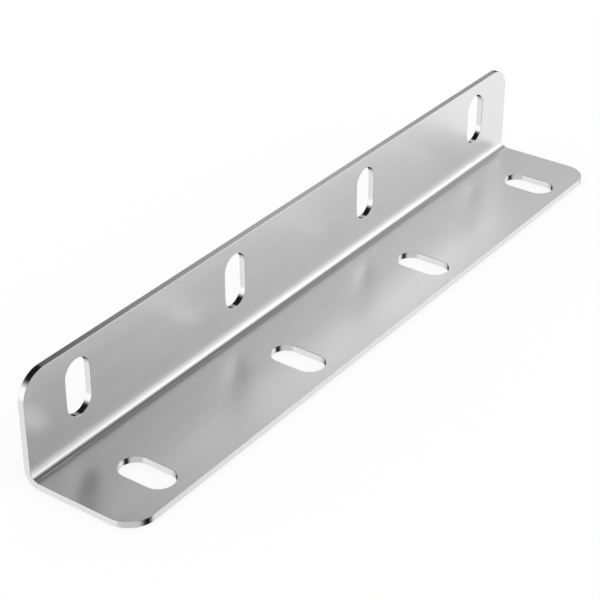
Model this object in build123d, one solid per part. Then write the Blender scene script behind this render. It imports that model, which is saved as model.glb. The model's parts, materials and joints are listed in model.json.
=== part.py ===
"""Angle splice plate: one piece of sheet metal, cut, slotted and folded once into two legs at a right angle.

Row frame, in millimetres: X runs along the fold, Y across the leg that lies flat and Z up.
The origin is at the middle of the plate's length and of its footprint, on the surface that it lies on.
"""

import os

from build123d import *

# Overall sizes, all measured outside
LENGTH = 180.0  # along the fold
BASE_LEG = 27.5  # the leg that lies flat, from the upright leg's outer face to the free edge
WALL_LEG = 24.5  # the upright leg, from the flat leg's underside to the free edge

# Sheet
SHEET = 1.5  # thickness
BEND_INSIDE_RADIUS = 2.0
CORNER_RADIUS = 6.0  # at the four free corners, two on each leg
EDGE_BREAK = 0.1  # radius left on every cut edge by deburring

# Slots for M6 bolts, one evenly spaced row on each leg, each slot running across its leg
SLOT_WIDTH = 7.0
SLOT_LENGTH = 13.0
SLOT_COUNT = 4
SLOT_END_DISTANCE = 15.0  # from each end of the plate to the middle of the nearest slot
SLOT_EDGE_DISTANCE = 9.5  # from each leg's free edge to the middle of its slots

# Places in the row frame
WALL_OUTER_Y = BASE_LEG / 2
BASE_EDGE_Y = -BASE_LEG / 2
BEND_OUTSIDE_RADIUS = BEND_INSIDE_RADIUS + SHEET
BEND_CENTRE = (WALL_OUTER_Y - BEND_OUTSIDE_RADIUS, BEND_OUTSIDE_RADIUS)
SLOT_PITCH = (LENGTH - 2 * SLOT_END_DISTANCE) / (SLOT_COUNT - 1)
SLOT_X = [SLOT_END_DISTANCE - LENGTH / 2 + i * SLOT_PITCH for i in range(SLOT_COUNT)]

CUTTER_DEPTH = 3 * SHEET  # long enough to pass through one sheet from its middle, both ways
SAME = 1e-4  # two places nearer than this are the same


def folded_section():
    """The L-shaped section in the Y-Z plane, with its bend concentric inside and out."""
    bend_y, bend_z = BEND_CENTRE
    wall_inner_y = WALL_OUTER_Y - SHEET
    with BuildSketch(Plane.YZ) as section:
        with BuildLine():
            outer_base = Line((BASE_EDGE_Y, 0), (bend_y, 0))
            outer_bend = CenterArc(BEND_CENTRE, BEND_OUTSIDE_RADIUS, -90, 90)
            outer_wall = Line((WALL_OUTER_Y, bend_z), (WALL_OUTER_Y, WALL_LEG))
            wall_edge = Line((WALL_OUTER_Y, WALL_LEG), (wall_inner_y, WALL_LEG))
            inner_wall = Line((wall_inner_y, WALL_LEG), (wall_inner_y, bend_z))
            inner_bend = CenterArc(BEND_CENTRE, BEND_INSIDE_RADIUS, 0, -90)
            inner_base = Line((bend_y, SHEET), (BASE_EDGE_Y, SHEET))
            base_edge = Line((BASE_EDGE_Y, SHEET), (BASE_EDGE_Y, 0))
        make_face()
    return section.sketch


def free_corners(angle):
    """The four short edges, through the sheet, at the free corners of both legs."""
    ends = angle.edges().filter_by(lambda e: abs(abs(e.center().X) - LENGTH / 2) < SAME)
    base = ends.filter_by(Axis.Z).filter_by(lambda e: abs(e.center().Y - BASE_EDGE_Y) < SAME)
    wall = ends.filter_by(Axis.Y).filter_by(lambda e: abs(e.center().Z - WALL_LEG) < SAME)
    return base + wall


def slot_cutters():
    """Round-ended cutters through both legs, their long way across the leg."""
    base_middle = (0, BASE_EDGE_Y + SLOT_EDGE_DISTANCE, SHEET / 2)
    wall_middle = (0, WALL_OUTER_Y - SHEET / 2, WALL_LEG - SLOT_EDGE_DISTANCE)
    base_plane = Plane(base_middle, x_dir=(0, 1, 0), z_dir=(0, 0, 1))
    wall_plane = Plane(wall_middle, x_dir=(0, 0, 1), z_dir=(0, -1, 0))
    cutters = []
    for plane in (base_plane, wall_plane):
        cutter = extrude(plane * SlotOverall(SLOT_LENGTH, SLOT_WIDTH), CUTTER_DEPTH / 2, both=True)
        cutters += [Pos(x, 0, 0) * cutter for x in SLOT_X]
    return cutters


def cut_edges(angle):
    """Every edge between a sheet face and a cut wall, which is every edge apart from two kinds:
    the four straight lines where a leg meets the bend, and the short edges through the sheet."""

    def is_cut(edge):
        centre = edge.center()
        along_bend = edge.length > LENGTH - SAME
        on_bend_line = min(abs(centre.Y - BEND_CENTRE[0]), abs(centre.Z - BEND_CENTRE[1])) < SAME
        through_sheet = edge.geom_type == GeomType.LINE and abs(edge.length - SHEET) < SAME
        return not through_sheet and not (along_bend and on_bend_line)

    return angle.edges().filter_by(is_cut)


def splice_plate():
    """The whole plate: section, extrusion, rounded corners, slots and broken edges."""
    angle = extrude(folded_section(), LENGTH / 2, both=True)
    angle = fillet(free_corners(angle), CORNER_RADIUS)
    for cutter in slot_cutters():
        angle -= cutter
    return fillet(cut_edges(angle), min(EDGE_BREAK, SHEET / 4))


os.makedirs("parts", exist_ok=True)
export_step(splice_plate(), "parts/splice_plate.step")
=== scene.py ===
"""Angle splice plate in satin steel: one folded, slotted sheet on a plain studio stage."""

import json
import math
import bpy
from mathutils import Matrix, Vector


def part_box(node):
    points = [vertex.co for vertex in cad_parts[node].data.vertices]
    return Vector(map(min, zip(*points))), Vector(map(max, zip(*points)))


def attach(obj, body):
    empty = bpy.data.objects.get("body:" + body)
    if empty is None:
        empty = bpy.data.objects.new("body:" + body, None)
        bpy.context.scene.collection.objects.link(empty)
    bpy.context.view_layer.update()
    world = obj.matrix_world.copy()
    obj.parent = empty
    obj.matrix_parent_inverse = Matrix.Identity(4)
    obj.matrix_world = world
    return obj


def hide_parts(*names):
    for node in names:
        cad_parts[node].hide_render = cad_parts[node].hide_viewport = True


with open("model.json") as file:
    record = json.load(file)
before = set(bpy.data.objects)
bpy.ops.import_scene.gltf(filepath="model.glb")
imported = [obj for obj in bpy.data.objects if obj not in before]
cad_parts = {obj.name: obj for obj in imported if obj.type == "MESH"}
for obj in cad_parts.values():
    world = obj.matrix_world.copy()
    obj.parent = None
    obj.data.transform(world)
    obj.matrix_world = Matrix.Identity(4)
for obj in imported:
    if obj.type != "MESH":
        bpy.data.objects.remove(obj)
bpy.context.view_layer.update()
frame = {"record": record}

from types import SimpleNamespace

import bpy
import numpy as np
from mathutils import Vector

bl_info = {
    "name": "Angle Splice Plate",
    "version": (1, 0, 0),
    "blender": (4, 5, 0),
    "location": "3D View > Sidebar > Splice Plate",
    "description": "Builds a folded, slotted splice plate in satin steel, and a studio stage for it",
    "category": "Add Mesh",
}

NODE = "splice_plate"  # the frame's node that the finished plate stands for
BODY = "root"
MM = 0.001

LOW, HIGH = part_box(NODE)
MOUNTS = {mount["name"]: mount for mount in frame["record"]["mounts"]}
SLOT_MOUNTS = [MOUNTS[name] for name in sorted(MOUNTS) if name.startswith("base_slot")]
FIRST_SLOT = SLOT_MOUNTS[0]

EIGHTH = math.pi / 4  # an eighth of a turn

ARC_STEPS = 8  # grid steps in an eighth of a turn, where it is the start or end of a side
STRAIGHT_STEPS = 8  # along a slot's straight side
SIDE_STEPS = 2 * ARC_STEPS + STRAIGHT_STEPS  # along each of the four sides of a slot and of its cell
RING_STEPS = 6  # from a slot out to its cell's border
BEND_STEPS = 32  # round the bend
BREAK_STEPS = 4  # round each broken edge
WALL_STEPS = 6  # down the straight part of a cut wall
WELD = 0.01 * MM  # points in one cell of a grid of this size are one point
WELD_SHIFT = 0.37  # of a cell: keeps points at round sizes away from the cells' borders

UV_MAP = "flat_pattern"
GRAIN_DETAIL = 2.0
GRAIN_LOW, GRAIN_HIGH = 0.25, 0.75  # the usual range of the grain's noise
ROUGHNESS_SPREAD = 0.07  # how far the roughness strays either way, as a share of itself
MARKS_IN_TONE = 0.4  # share of the fine marks in the faces' colour, where streaks are the rest
STREAKS_IN_WEAR = 0.4  # share of the streaks in the faces' roughness, where clouds are the rest
CLOUD_STRETCH = 2  # how many times longer than wide a cloud is
CUT_LINE_STRETCH = 20  # how many times longer than wide a cut line is
CUT_PATCH_RUN, CUT_PATCH_DEPTH = 12, 4  # a patch along the cut edge and through the sheet, in line widths

FLOOR_GAP = 0.02 * MM  # from the plate's underside down to the floor
FLOOR_REACH = 3.0  # from the middle to each side of the floor
NEAREST_SEEN = 10 * MM  # from the camera


# ------------------------------------------------------------------ settings


class PlateSettings(bpy.types.PropertyGroup):
    """Sizes of the plate. The overall sizes, the sheet and the slots come from the frame."""

    length: bpy.props.FloatProperty(
        name="Length", description="Along the bend",
        default=HIGH.x - LOW.x, unit="LENGTH")
    base_leg: bpy.props.FloatProperty(
        name="Flat leg", description="Outside width of the leg that lies flat",
        default=HIGH.y - LOW.y, unit="LENGTH")
    wall_leg: bpy.props.FloatProperty(
        name="Upright leg", description="Outside height of the upright leg",
        default=HIGH.z - LOW.z, unit="LENGTH")
    sheet: bpy.props.FloatProperty(
        name="Sheet", description="Thickness of the sheet",
        default=MOUNTS["base_inner_face"]["pos_m"][2], unit="LENGTH")
    bend_inside_radius: bpy.props.FloatProperty(
        name="Inside bend radius", description="Radius of the inner face in the bend",
        default=2.0 * MM, unit="LENGTH")
    corner_radius: bpy.props.FloatProperty(
        name="Corner radius", description="Radius of the four free corners",
        default=6.0 * MM, unit="LENGTH")
    edge_break: bpy.props.FloatProperty(
        name="Edge break", description="Small radius left on every cut edge by deburring",
        default=0.1 * MM, unit="LENGTH")
    slot_width: bpy.props.FloatProperty(
        name="Slot width", description="Width of every slot",
        default=2 * MM * FIRST_SLOT["dims"]["hole_r_mm"], unit="LENGTH")
    slot_length: bpy.props.FloatProperty(
        name="Slot length", description="Length of every slot, end to end, across its leg",
        default=MM * FIRST_SLOT["dims"]["slot_length_mm"], unit="LENGTH")
    slot_count: bpy.props.IntProperty(
        name="Slots in a row", description="Number of slots in each leg",
        default=len(SLOT_MOUNTS), min=2)
    slot_end_distance: bpy.props.FloatProperty(
        name="End distance", description="From each end to the middle of the nearest slot",
        default=FIRST_SLOT["pos_m"][0] - LOW.x, unit="LENGTH")
    slot_edge_distance: bpy.props.FloatProperty(
        name="Edge distance", description="From each leg's free edge to the middle of its slots",
        default=FIRST_SLOT["pos_m"][1] - LOW.y, unit="LENGTH")


class SteelSettings(bpy.types.PropertyGroup):
    """The finish of the steel: satin rolled faces and brighter cut edges."""

    colour: bpy.props.FloatVectorProperty(
        name="Rolled face", description="Colour of the sheet's rolled faces",
        default=(0.77, 0.77, 0.77), subtype="COLOR", min=0.0, max=1.0)
    roughness: bpy.props.FloatProperty(
        name="Face roughness", description="Roughness of the rolled faces",
        default=0.3, min=0.0, max=1.0, subtype="FACTOR")
    cut_colour: bpy.props.FloatVectorProperty(
        name="Cut edge", description="Colour of the cut edges",
        default=(0.75, 0.75, 0.75), subtype="COLOR", min=0.0, max=1.0)
    cut_roughness: bpy.props.FloatProperty(
        name="Cut roughness", description="Roughness of the cut edges",
        default=0.16, min=0.0, max=1.0, subtype="FACTOR")
    variation: bpy.props.FloatProperty(
        name="Variation", description="How far the grain lightens and darkens the steel",
        default=0.04, min=0.0, max=1.0, subtype="FACTOR")
    grain_length: bpy.props.FloatProperty(
        name="Grain length", description="Length of the fine rolling marks, along the bend",
        default=14.0 * MM, unit="LENGTH")
    grain_width: bpy.props.FloatProperty(
        name="Grain width", description="Width of the fine rolling marks",
        default=0.3 * MM, unit="LENGTH")
    grain_depth: bpy.props.FloatProperty(
        name="Grain depth", description="Depth of the fine rolling marks",
        default=0.0006 * MM, precision=6, unit="LENGTH")
    streak_length: bpy.props.FloatProperty(
        name="Streak length", description="Length of the broad, faint rolling streaks",
        default=90.0 * MM, unit="LENGTH")
    streak_width: bpy.props.FloatProperty(
        name="Streak width", description="Width of the broad, faint rolling streaks",
        default=2.5 * MM, unit="LENGTH")
    cloud_size: bpy.props.FloatProperty(
        name="Cloud size", description="Size of the soft clouds in the satin",
        default=16.0 * MM, unit="LENGTH")
    cut_line_width: bpy.props.FloatProperty(
        name="Cut line width", description="Width of the fine lines through the sheet on its cut edges",
        default=0.25 * MM, unit="LENGTH")
    cut_line_depth: bpy.props.FloatProperty(
        name="Cut line depth", description="Depth of the fine lines through the sheet on its cut edges",
        default=0.0006 * MM, precision=6, unit="LENGTH")


class StageSettings(bpy.types.PropertyGroup):
    """Camera and light."""

    azimuth: bpy.props.FloatProperty(
        name="Azimuth", description="Turn of the camera about the plate, from the -Y side",
        default=math.radians(-54.33), subtype="ANGLE")
    elevation: bpy.props.FloatProperty(
        name="Elevation", description="Angle of the camera above the floor",
        default=math.radians(31.05), subtype="ANGLE")
    distance: bpy.props.FloatProperty(
        name="Distance", description="From the camera to the point that it looks at",
        default=380 * MM, unit="LENGTH")
    aim: bpy.props.FloatVectorProperty(
        name="Aim", description="The point that the camera looks at",
        default=(-13.35 * MM, 3.58 * MM, 7.56 * MM), subtype="TRANSLATION")
    lens: bpy.props.FloatProperty(
        name="Lens", description="Focal length of the camera, in millimetres",
        default=104.28, unit="CAMERA")
    room_level: bpy.props.FloatProperty(
        name="Room level", description="Brightness of the room that the metal reflects, where 1 is white",
        default=0.72, min=0.0)
    floor_glow: bpy.props.FloatProperty(
        name="Floor glow", description="Share of plain white in the floor, which lightens the shadow",
        default=0.8, min=0.0, max=1.0, subtype="FACTOR")


# ------------------------------------------------------------------ stretches of a path in a plane


def arc(centre, radius, start, end, steps):
    """A stretch round a circle, evenly spaced by angle, with its outward directions."""
    angle = np.linspace(start, end, steps + 1)
    out = np.stack((np.cos(angle), np.sin(angle)), -1)
    return np.asarray(centre) + radius * out, out


def straight(start, end, out, steps):
    """A stretch from start to end, evenly spaced, all with the same outward direction."""
    share = np.linspace(0, 1, steps + 1)[:, None]
    start, end = np.asarray(start, float), np.asarray(end, float)
    return start + share * (end - start), np.tile(np.asarray(out, float), (steps + 1, 1))


def joined(*stretches):
    """Stretches end to end, each without its first point where it follows another."""
    points = [s[0][min(i, 1):] for i, s in enumerate(stretches)]
    outs = [s[1][min(i, 1):] for i, s in enumerate(stretches)]
    return np.concatenate(points), np.concatenate(outs)


def slot_sides(s, q, radius, reach):
    """A round-ended slot as four stretches, split in the middle of each quarter of its round ends.

    s is along the bend and q runs from the leg's free edge towards the bend. The stretches lie towards the
    free edge, high s, the bend and low s, in that order, and their directions point into the slot."""
    near, far = (s, q - reach), (s, q + reach)
    free = arc(near, radius, -3 * EIGHTH, -EIGHTH, SIDE_STEPS)
    high = joined(
        arc(near, radius, -EIGHTH, 0, ARC_STEPS),
        straight((s + radius, q - reach), (s + radius, q + reach), (1, 0), STRAIGHT_STEPS),
        arc(far, radius, 0, EIGHTH, ARC_STEPS),
    )
    bend = arc(far, radius, EIGHTH, 3 * EIGHTH, SIDE_STEPS)
    low = joined(
        arc(far, radius, 3 * EIGHTH, 4 * EIGHTH, ARC_STEPS),
        straight((s - radius, q + reach), (s - radius, q - reach), (-1, 0), STRAIGHT_STEPS),
        arc(near, radius, 4 * EIGHTH, 5 * EIGHTH, ARC_STEPS),
    )
    return [(points, -outs) for points, outs in (free, high, bend, low)]


def cell_sides(low_s, high_s, low_q, high_q, round_low, round_high):
    """The rectangle of sheet around one slot, as four stretches that match the slot's.

    Its two corners on the free edge, at low_q, are rounded to the radii given, or square where that is 0.
    Each rounded corner is shared half and half by the sides that it joins."""
    a, b = (low_s + round_low, low_q + round_low), (high_s - round_high, low_q + round_high)
    low_steps = ARC_STEPS if round_low else 0
    high_steps = ARC_STEPS if round_high else 0
    free = [straight((a[0], low_q), (b[0], low_q), (0, -1), SIDE_STEPS - low_steps - high_steps)]
    high = [straight((high_s, b[1]), (high_s, high_q), (1, 0), SIDE_STEPS - high_steps)]
    low = [straight((low_s, high_q), (low_s, a[1]), (-1, 0), SIDE_STEPS - low_steps)]
    bend = straight((high_s, high_q), (low_s, high_q), (0, 1), SIDE_STEPS)
    if round_low:
        free.insert(0, arc(a, round_low, 5 * EIGHTH, 6 * EIGHTH, ARC_STEPS))
        low.append(arc(a, round_low, 4 * EIGHTH, 5 * EIGHTH, ARC_STEPS))
    if round_high:
        free.append(arc(b, round_high, -2 * EIGHTH, -EIGHTH, ARC_STEPS))
        high.insert(0, arc(b, round_high, -EIGHTH, 0, ARC_STEPS))
    return [joined(*free), joined(*high), bend, joined(*low)]


# ------------------------------------------------------------------ the flat pattern and its fold


def pattern_places(plate):
    """Named places in the flat pattern, worked out from the settings.

    The flat pattern has three ways: s along the bend, from the middle of the length; v across the sheet,
    from the flat leg's free edge; and w through it, from the outer face to the inner one."""
    half = plate.length / 2
    outer_radius = plate.bend_inside_radius + plate.sheet
    bend_start = plate.base_leg - outer_radius
    bend_arc = (plate.bend_inside_radius + plate.sheet / 2) * math.pi / 2
    bend_end = bend_start + bend_arc
    slots = np.linspace(plate.slot_end_distance - half, half - plate.slot_end_distance, plate.slot_count)
    between = (slots[1:] + slots[:-1]) / 2
    return SimpleNamespace(
        end=half - plate.edge_break,
        outer_radius=outer_radius,
        bend_start=bend_start,
        bend_arc=bend_arc,
        bend_end=bend_end,
        top=bend_end + plate.wall_leg - outer_radius,
        slots=slots,
        borders=np.concatenate(([plate.edge_break - half], between, [half - plate.edge_break])),
        bend_y=HIGH.y - outer_radius,
        underside=LOW.z,
    )


def bend_angle(flat, at):
    """How far the sheet is turned at each point: evenly from nothing to a right angle across the bend."""
    return np.clip((flat[..., 1] - at.bend_start) / at.bend_arc, 0, 1) * math.pi / 2


def fold(flat, at):
    """Folded places of flat points.

    At the bend angle a, a point lies at the outer radius less w from the bend's axis, in the direction
    (sin a, -cos a), then straight on along Y before the bend and along Z after it."""
    s, v, w = flat[..., 0], flat[..., 1], flat[..., 2]
    a = bend_angle(flat, at)
    radius = at.outer_radius - w
    y = at.bend_y + radius * np.sin(a) + np.minimum(v - at.bend_start, 0)
    z = at.underside + at.outer_radius - radius * np.cos(a) + np.maximum(v - at.bend_end, 0)
    return np.stack((s, y, z), -1)


def fold_directions(flat, way, at):
    """Folded directions: s stays, v turns to (cos a, sin a) and w to (-sin a, cos a) at the bend angle a."""
    a = bend_angle(flat, at)
    y = way[..., 1] * np.cos(a) - way[..., 2] * np.sin(a)
    z = way[..., 1] * np.sin(a) + way[..., 2] * np.cos(a)
    return np.stack((way[..., 0], y, z), -1)


# ------------------------------------------------------------------ patches: grids of flat points


ROLLED, CUT = 0, 1  # the places of the two finishes in the mesh's material list


def patch(flat, way, uv, finish):
    """One grid of the flat pattern: its points, outward directions, own map and finish."""
    return SimpleNamespace(
        flat=flat, way=np.broadcast_to(way, flat.shape), uv=uv, finish=finish, shape=flat.shape[:2])


def face_patch(plane, w, up):
    """A grid of points in the sheet's plane, laid at the height w, facing up (1) or down (-1)."""
    flat = np.concatenate((plane, np.full(plane.shape[:2] + (1,), w)), -1)
    return patch(flat, np.array((0.0, 0.0, up)), plane, ROLLED)


def edge_profile(plate):
    """The cut edge's section, as places and directions in (outwards, w), from the inner face to the outer.

    It is a quarter round of the edge break, the straight wall and another quarter round."""
    e, t = plate.edge_break, plate.sheet
    return joined(
        arc((0, t - e), e, 2 * EIGHTH, 0, BREAK_STEPS),
        straight((e, t - e), (e, e), (1, 0), WALL_STEPS),
        arc((0, e), e, 0, -2 * EIGHTH, BREAK_STEPS),
    )


def edge_patch(border, profile):
    """The edge's section carried along a border of the sheet's faces.

    A point is the border point plus its outward direction times the section's outward place, at the
    section's height. Its own map runs along the border, from a start of its own, and through the sheet."""
    (points, outs), (places, ways) = border, profile
    across = points[:, None] + outs[:, None] * places[None, :, :1]
    flat = np.concatenate((across, np.broadcast_to(places[None, :, 1:], across.shape[:2] + (1,))), -1)
    way = np.concatenate(
        (outs[:, None] * ways[None, :, :1], np.broadcast_to(ways[None, :, 1:], across.shape[:2] + (1,))), -1)
    steps = np.linalg.norm(np.diff(points, axis=0), axis=1)
    run = points[0].sum() + np.concatenate(([0], np.cumsum(steps)))
    uv = np.stack(np.broadcast_arrays(run[:, None], places[None, :, 1]), -1)
    return patch(flat, way, uv, CUT)


def leg_patches(plate, at, upright):
    """Faces and cut edges of one leg: for each slot, a ring of sheet out to its cell's border."""
    radius = plate.slot_width / 2 + plate.edge_break
    reach = (plate.slot_length - plate.slot_width) / 2
    depth = at.top - at.bend_end if upright else at.bend_start
    rounded = plate.corner_radius - plate.edge_break
    profile = edge_profile(plate)
    share = np.linspace(0, 1, RING_STEPS + 1)[None, :, None]
    last = len(at.slots) - 1

    def placed(stretch):
        """Turns q, from the free edge, into v. The upright leg's free edge is the pattern's far side."""
        if not upright:
            return stretch
        points, outs = stretch
        return np.stack((points[:, 0], at.top - points[:, 1]), -1), outs * (1, -1)

    patches = []
    for i, s in enumerate(at.slots):
        slot = slot_sides(s, plate.slot_edge_distance, radius, reach)
        cell = cell_sides(
            at.borders[i], at.borders[i + 1], plate.edge_break, depth,
            rounded if i == 0 else 0, rounded if i == last else 0)
        slot, cell = [placed(side) for side in slot], [placed(side) for side in cell]
        for inner, outer in zip(slot, cell):
            plane = inner[0][:, None] * (1 - share) + outer[0][:, None] * share
            patches.append(face_patch(plane, plate.sheet, 1))
            patches.append(face_patch(plane, 0, -1))
            patches.append(edge_patch(inner, profile))
        free, high, _, low = cell
        patches.append(edge_patch(free, profile))
        if i == 0:
            patches.append(edge_patch(low, profile))
        if i == last:
            patches.append(edge_patch(high, profile))
    return patches


def bend_patches(plate, at):
    """The bend's inner and outer faces and its two cut ends, as wide as the cells beside it."""
    s = np.concatenate([np.linspace(a, b, SIDE_STEPS + 1)[:-1] for a, b in zip(at.borders, at.borders[1:])])
    s = np.append(s, at.borders[-1])
    v = np.linspace(at.bend_start, at.bend_end, BEND_STEPS + 1)
    plane = np.stack(np.meshgrid(s, v, indexing="ij"), -1)
    profile = edge_profile(plate)
    low = straight((-at.end, at.bend_start), (-at.end, at.bend_end), (-1, 0), BEND_STEPS)
    high = straight((at.end, at.bend_start), (at.end, at.bend_end), (1, 0), BEND_STEPS)
    return [
        face_patch(plane, plate.sheet, 1),
        face_patch(plane, 0, -1),
        edge_patch(low, profile),
        edge_patch(high, profile),
    ]


def grid_quads(shape, first):
    """Corner numbers of every quad of a grid whose points are numbered from first."""
    index = first + np.arange(shape[0] * shape[1]).reshape(shape)
    corners = (index[:-1, :-1], index[1:, :-1], index[1:, 1:], index[:-1, 1:])
    return np.stack(corners, -1).reshape(-1, 4)


def facing_out(quads, points, ways):
    """The same quads, with those turned over whose own normal is against their points' directions."""
    p = points[quads]
    normal = np.cross(p[:, 2] - p[:, 0], p[:, 3] - p[:, 1])
    wrong = np.einsum("ij,ij->i", normal, ways[quads].sum(axis=1)) < 0
    quads = quads.copy()
    quads[wrong] = quads[wrong][:, ::-1]
    return quads


def welded(points):
    """Which points to keep, one for each place, and the number among them that each point now has."""
    cells = np.floor(points / WELD + WELD_SHIFT).astype(np.int64)
    _, keep, number = np.unique(cells, axis=0, return_index=True, return_inverse=True)
    return keep, number.reshape(-1)


def mesh_from_patches(name, patches, at):
    """One closed mesh from all the patches, with the true normal of the surface at every point."""
    firsts = np.cumsum([0] + [p.shape[0] * p.shape[1] for p in patches])
    quads = np.concatenate([grid_quads(p.shape, first) for p, first in zip(patches, firsts)])
    flat = np.concatenate([p.flat.reshape(-1, 3) for p in patches])
    way = np.concatenate([p.way.reshape(-1, 3) for p in patches])
    uv = np.concatenate([p.uv.reshape(-1, 2) for p in patches])
    finish = np.concatenate([np.full((p.shape[0] - 1) * (p.shape[1] - 1), p.finish) for p in patches])
    points, ways = fold(flat, at), fold_directions(flat, way, at)
    quads = facing_out(quads, points, ways)
    keep, number = welded(points)

    mesh = bpy.data.meshes.new(name)
    mesh.from_pydata(points[keep], [], number[quads])
    mesh.uv_layers.new(name=UV_MAP).uv.foreach_set("vector", uv[quads].astype(np.float32).ravel())
    mesh.polygons.foreach_set("material_index", finish)
    mesh.polygons.foreach_set("use_smooth", np.ones(len(quads), bool))
    mesh.normals_split_custom_set_from_vertices(ways[keep])
    mesh.validate()
    return mesh


# ------------------------------------------------------------------ materials


def math_node(tree, operation, *values):
    """A Math node with its inputs set or linked, and its one output."""
    node = tree.nodes.new("ShaderNodeMath")
    node.operation = operation
    for socket, value in zip(node.inputs, values):
        if isinstance(value, bpy.types.NodeSocket):
            tree.links.new(value, socket)
        else:
            socket.default_value = value
    return node.outputs[0]


def grain_group():
    """Drawn-out noise near a half, which changes over one distance along the pattern and another across."""
    tree = bpy.data.node_groups.new("drawn_out_grain", "ShaderNodeTree")
    tree.interface.new_socket("Place", in_out="INPUT", socket_type="NodeSocketVector")
    tree.interface.new_socket("Along", in_out="INPUT", socket_type="NodeSocketFloat")
    tree.interface.new_socket("Across", in_out="INPUT", socket_type="NodeSocketFloat")
    tree.interface.new_socket("Grain", in_out="OUTPUT", socket_type="NodeSocketFloat")
    given = tree.nodes.new("NodeGroupInput").outputs
    place = tree.nodes.new("ShaderNodeSeparateXYZ")
    drawn = tree.nodes.new("ShaderNodeCombineXYZ")
    tree.links.new(given["Place"], place.inputs[0])
    tree.links.new(math_node(tree, "DIVIDE", place.outputs["X"], given["Along"]), drawn.inputs["X"])
    tree.links.new(math_node(tree, "DIVIDE", place.outputs["Y"], given["Across"]), drawn.inputs["Y"])
    noise = tree.nodes.new("ShaderNodeTexNoise")
    noise.inputs["Scale"].default_value = 1.0
    noise.inputs["Detail"].default_value = GRAIN_DETAIL
    tree.links.new(drawn.outputs[0], noise.inputs["Vector"])
    tree.links.new(noise.outputs["Fac"], tree.nodes.new("NodeGroupOutput").inputs["Grain"])
    return tree


def grain(tree, group, along, across):
    """The grain group placed in a material, read in the piece's own map."""
    place = tree.nodes.new("ShaderNodeUVMap")
    place.uv_map = UV_MAP
    node = tree.nodes.new("ShaderNodeGroup")
    node.node_tree = group
    tree.links.new(place.outputs["UV"], node.inputs["Place"])
    node.inputs["Along"].default_value = along
    node.inputs["Across"].default_value = across
    return node.outputs["Grain"]


def ranged(tree, value, low, high):
    """The grain's usual range, from GRAIN_LOW to GRAIN_HIGH, spread over low to high."""
    node = tree.nodes.new("ShaderNodeMapRange")
    tree.links.new(value, node.inputs["Value"])
    node.inputs["From Min"].default_value = GRAIN_LOW
    node.inputs["From Max"].default_value = GRAIN_HIGH
    node.inputs["To Min"].default_value = low
    node.inputs["To Max"].default_value = high
    return node.outputs["Result"]


def blended(tree, first, second, share):
    """The share of the first value and the rest of the second."""
    first = math_node(tree, "MULTIPLY", first, share)
    second = math_node(tree, "MULTIPLY", second, 1 - share)
    return math_node(tree, "ADD", first, second)


def shaded(tree, value, colour, variation):
    """The colour, darker by the variation where the grain is low and lighter where it is high."""
    node = tree.nodes.new("ShaderNodeMix")
    node.data_type = "RGBA"
    inputs = {socket.identifier: socket for socket in node.inputs}
    inputs["A_Color"].default_value = (*(c * (1 - variation) for c in colour), 1)
    inputs["B_Color"].default_value = (*(c * (1 + variation) for c in colour), 1)
    tree.links.new(ranged(tree, value, 0, 1), node.inputs["Factor"])
    return {socket.identifier: socket for socket in node.outputs}["Result_Color"]


def bare_metal(name):
    """A plain metal, whose colour, roughness and bump are still to be linked."""
    material = bpy.data.materials.new(name)
    material.use_nodes = True
    material.node_tree.nodes["Principled BSDF"].inputs["Metallic"].default_value = 1.0
    return material


def link_finish(tree, colour, wear, roughness, height, depth):
    """Links a metal's colour, a roughness that the wear varies, and a bump of the height and depth given."""
    shader = tree.nodes["Principled BSDF"]
    tree.links.new(colour, shader.inputs["Base Color"])
    rough = ranged(tree, wear, roughness * (1 - ROUGHNESS_SPREAD), roughness * (1 + ROUGHNESS_SPREAD))
    tree.links.new(rough, shader.inputs["Roughness"])
    bump = tree.nodes.new("ShaderNodeBump")
    bump.inputs["Distance"].default_value = depth
    tree.links.new(height, bump.inputs["Height"])
    tree.links.new(bump.outputs["Normal"], shader.inputs["Normal"])


def rolled_steel(steel, group):
    """Satin rolled faces: fine marks along the bend, broad faint streaks and soft clouds."""
    material = bare_metal("rolled_steel")
    tree = material.node_tree
    marks = grain(tree, group, steel.grain_length, steel.grain_width)
    streaks = grain(tree, group, steel.streak_length, steel.streak_width)
    clouds = grain(tree, group, CLOUD_STRETCH * steel.cloud_size, steel.cloud_size)
    colour = shaded(tree, blended(tree, marks, streaks, MARKS_IN_TONE), steel.colour, steel.variation)
    wear = blended(tree, streaks, clouds, STREAKS_IN_WEAR)
    link_finish(tree, colour, wear, steel.roughness, marks, steel.grain_depth)
    return material


def cut_steel(steel, group):
    """Bright cut edges: fine lines through the thickness of the sheet, and patches of dull and bright."""
    material = bare_metal("cut_steel")
    tree = material.node_tree
    width = steel.cut_line_width
    lines = grain(tree, group, width, CUT_LINE_STRETCH * width)
    patches = grain(tree, group, CUT_PATCH_RUN * width, CUT_PATCH_DEPTH * width)
    colour = shaded(tree, lines, steel.cut_colour, steel.variation)
    link_finish(tree, colour, patches, steel.cut_roughness, lines, steel.cut_line_depth)
    return material


# ------------------------------------------------------------------ operators


class SPLICEPLATE_OT_plate(bpy.types.Operator):
    """Build the finished plate in place of the frame's plain one"""

    bl_idname = "splice_plate.plate"
    bl_label = "Build Plate"

    def execute(self, context):
        plate = context.scene.splice_plate
        at = pattern_places(plate)
        patches = leg_patches(plate, at, False) + leg_patches(plate, at, True) + bend_patches(plate, at)
        mesh = mesh_from_patches("plate", patches, at)
        steel, group = context.scene.splice_plate_steel, grain_group()
        mesh.materials.append(rolled_steel(steel, group))
        mesh.materials.append(cut_steel(steel, group))
        piece = bpy.data.objects.new("folded_plate", mesh)
        context.scene.collection.objects.link(piece)
        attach(piece, BODY)
        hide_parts(NODE)
        return {"FINISHED"}


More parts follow.
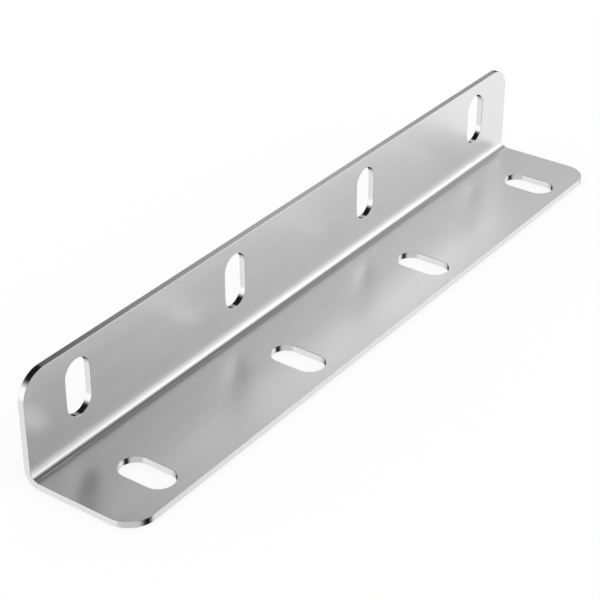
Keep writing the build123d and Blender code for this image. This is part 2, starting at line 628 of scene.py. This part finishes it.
def camera_at(stage):
    """A camera that looks at the aim point from its azimuth, elevation and distance."""
    camera = bpy.data.objects.new("camera", bpy.data.cameras.new("camera"))
    camera.data.lens = stage.lens
    back = Vector((
        math.sin(stage.azimuth) * math.cos(stage.elevation),
        -math.cos(stage.azimuth) * math.cos(stage.elevation),
        math.sin(stage.elevation),
    ))
    camera.location = Vector(stage.aim) + stage.distance * back
    camera.rotation_euler = back.to_track_quat("Z", "Y").to_euler()
    camera.data.clip_start = NEAREST_SEEN
    return camera


# Cards round the plate, each painted over the ones before it: azimuth and elevation of its middle, half its
# width and height and half the width of its soft edge, in degrees, and its brightness. Azimuth runs from +X
# towards +Y.
CARD_ANGLES = ("Card Azimuth", "Card Elevation", "Half Width", "Half Height", "Softness")
CARDS = (
    ("black_flag_back_left", 100, 50, 60, 30, 10, 0.0),
    ("black_flag_overhead_right", 315, 60, 40, 20, 5, 0.0),
    ("grey_flag_front", 275, 20, 35, 35, 5, 0.2),
    ("black_flag_low_back", 60, -45, 25, 25, 5, 0.0),
    ("black_flag_low_front", 280, -35, 20, 20, 15, 0.0),
    ("black_flag_back_right", 35, 0, 15, 15, 5, 0.0),
    ("grey_card_right", 325, 35, 25, 5, 5, 0.3),
    ("grey_card_back_right", 20, 25, 20, 15, 10, 0.35),
    ("softbox_back_right", 25, 45, 10, 15, 5, 1.2),
    ("softbox_front_right", 315, 15, 15, 15, 5, 1.7),
    ("softbox_left", 145, 5, 30, 25, 15, 1.3),
    ("bounce_left", 145, -35, 25, 15, 5, 1.0),
    ("bounce_front_right", 325, -30, 20, 10, 5, 1.0),
    ("bounce_right", 330, -15, 15, 10, 5, 1.2),
)


def soft_step(tree, value, edge, softness):
    """1 while the value is under the edge, falling smoothly to 0 within the softness either side of it."""
    node = tree.nodes.new("ShaderNodeMapRange")
    node.interpolation_type = "SMOOTHSTEP"
    tree.links.new(value, node.inputs["Value"])
    tree.links.new(math_node(tree, "SUBTRACT", edge, softness), node.inputs["From Min"])
    tree.links.new(math_node(tree, "ADD", edge, softness), node.inputs["From Max"])
    node.inputs["To Min"].default_value = 1.0
    node.inputs["To Max"].default_value = 0.0
    return node.outputs["Result"]


def card_group():
    """A soft-edged card seen in a direction, laid over the brightness of what is behind it."""
    tree = bpy.data.node_groups.new("studio_card", "ShaderNodeTree")
    for name in ("Behind", "Azimuth", "Elevation", *CARD_ANGLES, "Brightness"):
        tree.interface.new_socket(name, in_out="INPUT", socket_type="NodeSocketFloat")
    tree.interface.new_socket("Brightness", in_out="OUTPUT", socket_type="NodeSocketFloat")
    given = tree.nodes.new("NodeGroupInput").outputs
    turn = math_node(tree, "SUBTRACT", given["Azimuth"], given["Card Azimuth"])
    turn = math_node(tree, "ABSOLUTE", math_node(tree, "WRAP", turn, math.pi, -math.pi))
    lift = math_node(tree, "SUBTRACT", given["Elevation"], given["Card Elevation"])
    across = soft_step(tree, turn, given["Half Width"], given["Softness"])
    up = soft_step(tree, math_node(tree, "ABSOLUTE", lift), given["Half Height"], given["Softness"])
    mix = tree.nodes.new("ShaderNodeMix")
    tree.links.new(math_node(tree, "MULTIPLY", across, up), mix.inputs["Factor"])
    tree.links.new(given["Behind"], mix.inputs["A"])
    tree.links.new(given["Brightness"], mix.inputs["B"])
    tree.links.new(mix.outputs["Result"], tree.nodes.new("NodeGroupOutput").inputs["Brightness"])
    return tree


def studio_world(stage):
    """White to the camera and to matt surfaces, and a pale room hung with cards to metal."""
    world = bpy.data.worlds.new("studio")
    world.use_nodes = True
    tree = world.node_tree
    direction = tree.nodes.new("ShaderNodeSeparateXYZ")
    tree.links.new(tree.nodes.new("ShaderNodeTexCoord").outputs["Generated"], direction.inputs[0])
    azimuth = math_node(tree, "ARCTAN2", direction.outputs["Y"], direction.outputs["X"])
    elevation = math_node(tree, "ARCSINE", direction.outputs["Z"])
    group = card_group()
    brightness = None
    for card_name, *angles, card_level in CARDS:
        card = tree.nodes.new("ShaderNodeGroup")
        card.node_tree = group
        card.label = card_name
        card.inputs["Behind"].default_value = stage.room_level
        if brightness:
            tree.links.new(brightness, card.inputs["Behind"])
        tree.links.new(azimuth, card.inputs["Azimuth"])
        tree.links.new(elevation, card.inputs["Elevation"])
        for angle_name, angle in zip(CARD_ANGLES, angles):
            card.inputs[angle_name].default_value = math.radians(angle)
        card.inputs["Brightness"].default_value = card_level
        brightness = card.outputs["Brightness"]
    light = tree.nodes.new("ShaderNodeLightPath")
    level = tree.nodes.new("ShaderNodeMix")
    level.inputs["A"].default_value = 1.0
    tree.links.new(light.outputs["Is Glossy Ray"], level.inputs["Factor"])
    tree.links.new(brightness, level.inputs["B"])
    background = tree.nodes["Background"]
    background.inputs["Color"].default_value = (1, 1, 1, 1)
    tree.links.new(level.outputs["Result"], background.inputs["Strength"])
    return world


def floor_material(stage):
    """White, with a share of plain white light to the camera, and clear from below."""
    material = bpy.data.materials.new("pale_floor")
    material.use_nodes = True
    tree = material.node_tree
    tree.nodes.clear()
    diffuse = tree.nodes.new("ShaderNodeBsdfDiffuse")
    diffuse.inputs["Color"].default_value = (1, 1, 1, 1)
    glow = tree.nodes.new("ShaderNodeEmission")
    light = tree.nodes.new("ShaderNodeLightPath")
    share = math_node(tree, "MULTIPLY", light.outputs["Is Camera Ray"], stage.floor_glow)
    lit = tree.nodes.new("ShaderNodeMixShader")
    tree.links.new(share, lit.inputs["Fac"])
    tree.links.new(diffuse.outputs[0], lit.inputs[1])
    tree.links.new(glow.outputs[0], lit.inputs[2])
    sided = tree.nodes.new("ShaderNodeMixShader")
    tree.links.new(tree.nodes.new("ShaderNodeNewGeometry").outputs["Backfacing"], sided.inputs["Fac"])
    tree.links.new(lit.outputs[0], sided.inputs[1])
    tree.links.new(tree.nodes.new("ShaderNodeBsdfTransparent").outputs[0], sided.inputs[2])
    tree.links.new(sided.outputs[0], tree.nodes.new("ShaderNodeOutputMaterial").inputs["Surface"])
    return material


def floor_piece(stage):
    """A square floor just under the plate. Metal doesn't show it, and shows the room's low cards instead."""
    signs = np.array(((-1, -1), (1, -1), (1, 1), (-1, 1)))
    corners = np.column_stack((signs * FLOOR_REACH, np.full(len(signs), LOW.z - FLOOR_GAP)))
    mesh = bpy.data.meshes.new("floor")
    mesh.from_pydata(corners, [], [(0, 1, 2, 3)])
    mesh.materials.append(floor_material(stage))
    floor = bpy.data.objects.new("floor", mesh)
    floor.visible_glossy = False
    return floor


class SPLICEPLATE_OT_stage(bpy.types.Operator):
    """Set up the floor, the light and the camera"""

    bl_idname = "splice_plate.stage"
    bl_label = "Set Up Stage"

    def execute(self, context):
        scene = context.scene
        stage = scene.splice_plate_stage
        camera = camera_at(stage)
        scene.collection.objects.link(camera)
        scene.camera = camera
        scene.world = studio_world(stage)
        floor = floor_piece(stage)
        scene.collection.objects.link(floor)
        scene.view_settings.view_transform = "Standard"
        return {"FINISHED"}


class SPLICEPLATE_PT_panel(bpy.types.Panel):
    """The plate's operators and settings"""

    bl_label = "Splice Plate"
    bl_idname = "SPLICEPLATE_PT_panel"
    bl_space_type = "VIEW_3D"
    bl_region_type = "UI"
    bl_category = "Splice Plate"

    def draw(self, context):
        for operator in OPERATORS:
            self.layout.operator(operator.bl_idname)
        for name, _ in SETTINGS:
            settings = getattr(context.scene, name)
            box = self.layout.box()
            for key in settings.__annotations__:
                box.prop(settings, key)


SETTINGS = (
    ("splice_plate", PlateSettings),
    ("splice_plate_steel", SteelSettings),
    ("splice_plate_stage", StageSettings),
)
OPERATORS = (SPLICEPLATE_OT_plate, SPLICEPLATE_OT_stage)
CLASSES = (*(group for _, group in SETTINGS), *OPERATORS, SPLICEPLATE_PT_panel)


def register():
    """Registers the classes, and puts each group of settings on the scene."""
    for cls in CLASSES:
        bpy.utils.register_class(cls)
    for name, group in SETTINGS:
        setattr(bpy.types.Scene, name, bpy.props.PointerProperty(type=group))


def unregister():
    """Takes the settings and the classes away again."""
    for name, _ in SETTINGS:
        delattr(bpy.types.Scene, name)
    for cls in reversed(CLASSES):
        bpy.utils.unregister_class(cls)


def main():
    register()
    bpy.ops.splice_plate.plate()
    bpy.ops.splice_plate.stage()


if __name__ == "__main__":
    main()
